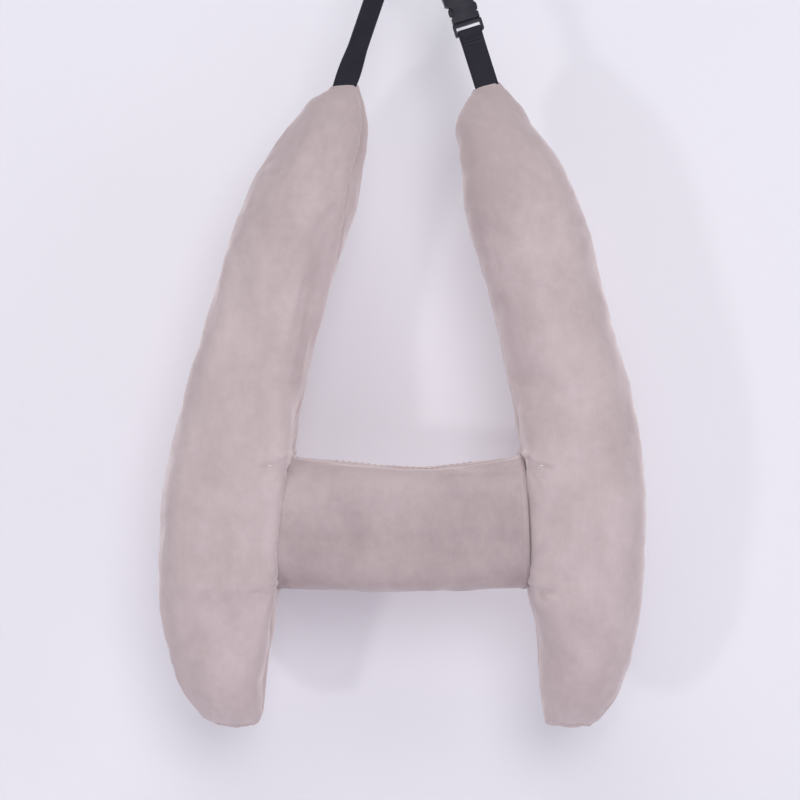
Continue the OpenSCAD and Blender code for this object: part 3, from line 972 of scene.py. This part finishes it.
def long_strap_left():
    """Up from inside the left tip: level there, then twisted, to the start of the turn at the top."""
    base = Vector((LEFT_X, 0, BASE_Z))
    top = Vector((-WRAP_R / 2, -WRAP_R, 0))
    along = (top - base).normalized()
    start = base - along * STRAP_SUNK
    whole = (top - start).length
    sloping = Vector((math.cos(STRAP_ANGLE), 0, -math.sin(STRAP_ANGLE)))
    steps = 90
    for i in range(steps):
        up = whole * i / steps
        twisted = smooth01((up - 8 * MM) / (34 * MM)) * smooth01((whole - 12 * MM - up) / (60 * MM))
        level = float(smooth01(1 - (up - 4 * MM) / (16 * MM)))
        across = sloping.lerp(Vector((1, 0, 0)), level).normalized()
        spin = Matrix.Rotation(-STRAP_TWIST * float(twisted), 3, along)
        flare = 1 + 0.02 * level
        yield start + along * up, spin @ across * flare, spin @ Vector((0, 1, 0))


def long_strap_top():
    """Half a turn over whatever it hangs from."""
    steps = 12
    for i in range(steps + 1):
        a = math.pi * i / steps
        c, s = math.cos(a), math.sin(a)
        point = Vector((WRAP_R * (i / steps - 0.5), -WRAP_R * c, WRAP_R * s))
        slope = math.sin(STRAP_ANGLE)
        yield point, Vector((math.cos(STRAP_ANGLE), slope * s, -slope * c)), Vector((0, c, -s))


def long_strap_right():
    """Down behind the buckle's socket to the end, which is folded back on itself as a hem."""
    steps = 60
    for i in range(1, steps + 1):
        up = STRAP_L + (TAIL_UP - STRAP_L) * i / steps
        drawn_in = float(smooth01((up - STRAP_L + 30 * MM) / (30 * MM)))
        back = STRAP_BACK + (WRAP_R - STRAP_BACK) * drawn_in
        yield on_right_strap(0, back, up), ACROSS_RIGHT, Vector((0, -1, 0))
    fold = WEB_T * 0.54
    steps = 7
    for i in range(1, steps + 1):
        a = math.pi * i / steps
        point = on_right_strap(0, STRAP_BACK + fold - fold * math.cos(a), TAIL_UP - fold * math.sin(a))
        yield point, ACROSS_RIGHT, Vector((0, -math.cos(a), 0)) - UP_RIGHT_STRAP * math.sin(a)
    steps = 4
    for i in range(1, steps + 1):
        point = on_right_strap(0, STRAP_BACK + 2 * fold, TAIL_UP + HEM_L * i / steps)
        yield point, ACROSS_RIGHT, Vector((0, 1, 0))


def short_strap_stations():
    """Up the front, round the buckle's fixed bar, and down the back to the tip again."""
    layer = WEB_T * 0.53
    front = []
    steps = 34
    for i in range(steps + 1):
        up = -STRAP_SUNK + (BUCKLE_UP + STRAP_SUNK) * i / steps
        spread = float(smooth01((up - BUCKLE_UP + 10 * MM) / (9 * MM)))
        front.append((up, layer + (BAR_LOOP_R - layer) * spread))
    for up, y in front:
        yield on_right_strap(0, -y, up), ACROSS_RIGHT, Vector((0, -1, 0))
    steps = 12
    for i in range(1, steps):
        a = math.pi * i / steps
        point = on_right_strap(0, -BAR_LOOP_R * math.cos(a), BUCKLE_UP + BAR_LOOP_R * math.sin(a))
        yield point, ACROSS_RIGHT, Vector((0, -math.cos(a), 0)) + UP_RIGHT_STRAP * math.sin(a)
    for up, y in reversed(front):
        yield on_right_strap(0, y, up), ACROSS_RIGHT, Vector((0, 1, 0))


def sewn_into_pillow(piece):
    """The strap's foot is sewn into the tip; its placing is baked into its mesh."""
    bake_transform(piece)


def make_straps():
    stations = [*long_strap_left(), *long_strap_top(), *long_strap_right()]
    long_strap = webbing_piece("long_webbing_strap", stations)
    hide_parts("long_strap")
    sewn_into_pillow(long_strap)
    short_strap = webbing_piece("short_webbing_strap", [*short_strap_stations()])
    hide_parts("short_strap")
    sewn_into_pillow(short_strap)


# ---- Stitches ----

def islands(node):
    """The separate solids of a node: middle, long direction and size along it, lowest and highest y."""
    bm = bmesh.new()
    bm.from_mesh(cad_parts[node].data)
    bmesh.ops.remove_doubles(bm, verts=bm.verts, dist=0.01 * MM)
    seen = set()
    found = []
    for start in bm.verts:
        if start in seen:
            continue
        todo, part = [start], []
        seen.add(start)
        while todo:
            vert = todo.pop()
            part.append(vert.co.copy())
            for edge in vert.link_edges:
                other = edge.other_vert(vert)
                if other not in seen:
                    seen.add(other)
                    todo.append(other)
        points = np.array(part)
        centre = (points.min(0) + points.max(0)) / 2
        flat = points[:, [0, 2]] - points[:, [0, 2]].mean(0)
        _, vectors = np.linalg.eigh(flat.T @ flat)
        axis = vectors[:, -1] * np.sign(vectors[0, -1] + 1e-9)
        reach = np.abs(flat @ axis).max()
        found.append((centre, np.array([axis[0], 0, axis[1]]), reach, points[:, 1].min(), points[:, 1].max()))
    bm.free()
    return sorted(found, key=lambda item: (round(item[0][2], 4), item[0][0]))


def stitch_rings(first, last, lift, radius):
    """Rings of one stitch: it comes up out of the fabric, lies along it and goes down again."""
    rings = []
    direction = (last - first) / np.linalg.norm(last - first)
    side = np.cross(direction, lift)
    for u in np.linspace(0, 1, STITCH_RINGS):
        rise = 2.2 * radius * (smooth01(u / 0.25) * smooth01((1 - u) / 0.25) - 0.75)
        thick = radius * (0.75 + 0.25 * math.sin(math.pi * u))
        point = first + (last - first) * u + lift * rise
        rings.append([
            point + thick * (side * math.cos(a) + lift * math.sin(a))
            for a in np.linspace(0, 2 * math.pi, STITCH_SIDES, endpoint=False)
        ])
    return np.array(rings)


def thread_piece(name, node, radius, material, slot_name, body, sides):
    """One piece with all the stitches of a CAD node, lying on the fabric that sides() finds."""
    verts, faces = [], []
    last = (STITCH_RINGS - 1) * STITCH_SIDES
    for centre, along, reach, low_y, high_y in islands(node):
        for lift, middle_point in sides(centre, low_y, high_y):
            rings = stitch_rings(middle_point - along * reach, middle_point + along * reach, lift, radius)
            start = len(verts)
            verts += list(rings.reshape(-1, 3))
            faces += grid_quads(STITCH_RINGS, STITCH_SIDES, True, start)
            faces.append(tuple(start + k for k in range(STITCH_SIDES)))
            faces.append(tuple(start + last + k for k in range(STITCH_SIDES)))
    piece = face_outwards(mesh_object(name, verts, faces, material))
    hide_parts(node)
    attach(piece, body)


def surface_of(grid):
    rows, cols = grid.shape[:2]
    return BVHTree.FromPolygons([Vector(p) for p in grid.reshape(-1, 3)], grid_quads(rows, cols, True))


def front_and_back(surface, x, z):
    """Outward direction and point where a line along Y first meets a surface, from both of its ends."""
    for direction in (-1, 1):
        hit = surface.ray_cast(Vector((x, direction * 0.2, z)), Vector((0, -direction, 0)))[0]
        if hit:
            yield np.array([0, direction, 0]), np.array(hit)


def on_cover(grid):
    """Where a stitch shows on a cushion's front and back."""
    surface = surface_of(grid)

    def sides(centre, low_y, high_y):
        return front_and_back(surface, centre[0], centre[2])

    return sides


def on_end(grid):
    """Where a stitch of an arm's closing seam shows on the front and back of its flat lower end."""
    surface = surface_of(grid)
    edge = grid[-1, :grid.shape[1] // 2]
    edge = edge[np.argsort(edge[:, 0])]

    def sides(centre, low_y, high_y):
        if not edge[0, 0] + 1 * MM < centre[0] < edge[-1, 0] - 1 * MM:
            return []
        height = np.interp(centre[0], edge[:, 0], edge[:, 2]) + 3.2 * MM
        return front_and_back(surface, centre[0], height)

    return sides


def on_top(grid):
    """Where a stitch of the crossbar's closing seam lies on top of it."""
    surface = surface_of(grid)

    def sides(centre, low_y, high_y):
        start = Vector((centre[0], centre[1], 0))
        hit = surface.ray_cast(start, Vector((0, 0, -1)))[0]
        return [(np.array([0, 0, 1]), np.array(hit))]

    return sides


def on_strap(centre, low_y, high_y):
    inset = 0.2 * MM
    return [
        (np.array([0, direction, 0]), np.array([centre[0], y - direction * inset, centre[2]]))
        for direction, y in ((-1, low_y), (1, high_y))
    ]


def make_stitching(arms, bar):
    """Every row of stitches, on the cushions and on the straps."""
    on_pillow = (COVER_THREAD, "cover_thread", "pillow")
    for side, name in SIDES.items():
        end, tip = on_end(arms[side]), on_cover(arms[side])
        thread_piece(f"{name}_end_stitching", f"{name}_arm_closing_stitches", 0.45 * MM, *on_pillow, end)
        thread_piece(f"{name}_tip_stitching", f"{name}_tip_stitches", 0.35 * MM, *on_pillow, tip)
    thread_piece("crossbar_seam_stitching", "crossbar_closing_seam", 0.4 * MM, *on_pillow, on_top(bar))
    on_webbing = (STRAP_THREAD, "webbing_thread", "strap", on_strap)
    thread_piece("hem_stitching", "long_strap_hem_stitches", 0.3 * MM, *on_webbing)
    thread_piece("short_strap_stitching", "short_strap_stitches", 0.3 * MM, *on_webbing)


# ---- Buckle ----

def bevelled(name, node, width, body):
    """A CAD moulding with its edges rounded over, as an injection mould leaves them."""
    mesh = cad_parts[node].data.copy()
    bm = bmesh.new()
    bm.from_mesh(mesh)
    bmesh.ops.remove_doubles(bm, verts=bm.verts, dist=0.01 * MM)
    bmesh.ops.dissolve_limit(
        bm, angle_limit=math.radians(1), verts=bm.verts, edges=bm.edges, use_dissolve_boundaries=False
    )
    bm.to_mesh(mesh)
    bm.free()
    mesh.name = name
    mesh.materials.clear()
    mesh.materials.append(PLASTIC)
    piece = bpy.data.objects.new(name, mesh)
    scene.collection.objects.link(piece)
    bevel = piece.modifiers.new("Rounded edges", "BEVEL")
    bevel.width = width
    bevel.segments = 3
    bevel.limit_method = "ANGLE"
    bevel.angle_limit = math.radians(35)
    bevel.harden_normals = True
    mesh.shade_smooth()
    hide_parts(node)
    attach(piece, body)


def make_buckle():
    bevelled("plug_frame", "buckle_plug_frame", 0.45 * MM, "strap")
    bevelled("left_prong", "buckle_left_prong", 0.4 * MM, "left_prong")
    bevelled("right_prong", "buckle_right_prong", 0.4 * MM, "right_prong")
    bevelled("socket", "buckle_socket", 0.5 * MM, "socket")


# ---- Camera, stage and light ----

def make_camera():
    data = bpy.data.cameras.new("camera")
    data.lens = LENS
    data.sensor_width = 36
    camera = bpy.data.objects.new("camera", data)
    scene.collection.objects.link(camera)
    centre_x = (CAD_LOW.x + CAD_HIGH.x) / 2
    camera.location = (centre_x - CAMERA_LEFT, -CAMERA_BACK, CAD_HIGH.z - CAMERA_DOWN)
    camera.rotation_euler = (math.pi / 2, 0, 0)
    scene.camera = camera


def stage_material():
    """Pale matt paper. Its back is clear, so the pillow's back can be seen, and it stops no light."""
    n = Nodes("stage_paper")
    tone = n.spread(n.noise(n.place(), 1.4, 2), 0.3, 0.7)
    colour = n.mix(tone, (0.78, 0.775, 0.825), (0.81, 0.80, 0.85))
    n.link(colour, n.shader.inputs["Base Color"])
    n.shader.inputs["Roughness"].default_value = 0.9
    n.shader.inputs["Specular IOR Level"].default_value = 0.1
    clear = n.add("ShaderNodeBsdfTransparent")
    geometry = n.add("ShaderNodeNewGeometry")
    path = n.add("ShaderNodeLightPath")
    either = n.math("MAXIMUM", geometry.outputs["Backfacing"], path.outputs["Is Shadow Ray"])
    blend = n.add("ShaderNodeMixShader")
    n.link(either, blend.inputs["Fac"])
    n.link(n.shader.outputs["BSDF"], blend.inputs[1])
    n.link(clear.outputs["BSDF"], blend.inputs[2])
    output = n.tree.nodes["Material Output"]
    n.link(blend.outputs["Shader"], output.inputs["Surface"])
    return n.material


def make_stage():
    """A pale wall close behind the pillow, curving into a pale floor below it."""
    wall_y = CAD_HIGH.y + WALL_GAP
    floor_z = CAD_LOW.z - FLOOR_GAP
    profile = [(wall_y, WALL_TOP)]
    for i in range(SWEEP_STEPS + 1):
        a = math.pi / 2 * i / SWEEP_STEPS
        y = wall_y - SWEEP_R + SWEEP_R * math.cos(a)
        profile.append((y, floor_z + SWEEP_R - SWEEP_R * math.sin(a)))
    profile.append((-STAGE_REACH, floor_z))
    verts = [(x, y, z) for y, z in profile for x in (-STAGE_REACH, STAGE_REACH)]
    faces = [(2 * i, 2 * i + 1, 2 * i + 3, 2 * i + 2) for i in range(len(profile) - 1)]
    stage = mesh_object("stage_sweep", verts, faces, stage_material())
    # The paper's front faces the pillow
    if stage.data.polygons[0].normal.y > 0:
        stage.data.flip_normals()


def make_light():
    world = bpy.data.worlds.new("studio")
    world.use_nodes = True
    background = world.node_tree.nodes["Background"]
    background.inputs["Color"].default_value = (0.97, 0.97, 1.0, 1)
    background.inputs["Strength"].default_value = 0.36
    scene.world = world
    target = (CAD_LOW + CAD_HIGH) / 2
    for name, place, size, power, colour in LIGHTS:
        data = bpy.data.lights.new(name, "AREA")
        data.shape = "DISK"
        data.size = size
        data.energy = power
        data.color = colour
        light = bpy.data.objects.new(name, data)
        scene.collection.objects.link(light)
        light.location = target + Vector(place)
        light.rotation_euler = (-Vector(place)).to_track_quat("-Z", "Y").to_euler()
    scene.view_settings.view_transform = "Standard"


# ---- The whole ----

make_camera()
make_stage()
make_light()
arms = {side: make_arm(side) for side in SIDES}
bar = make_crossbar()
make_straps()
make_stitching(arms, bar)
make_buckle()
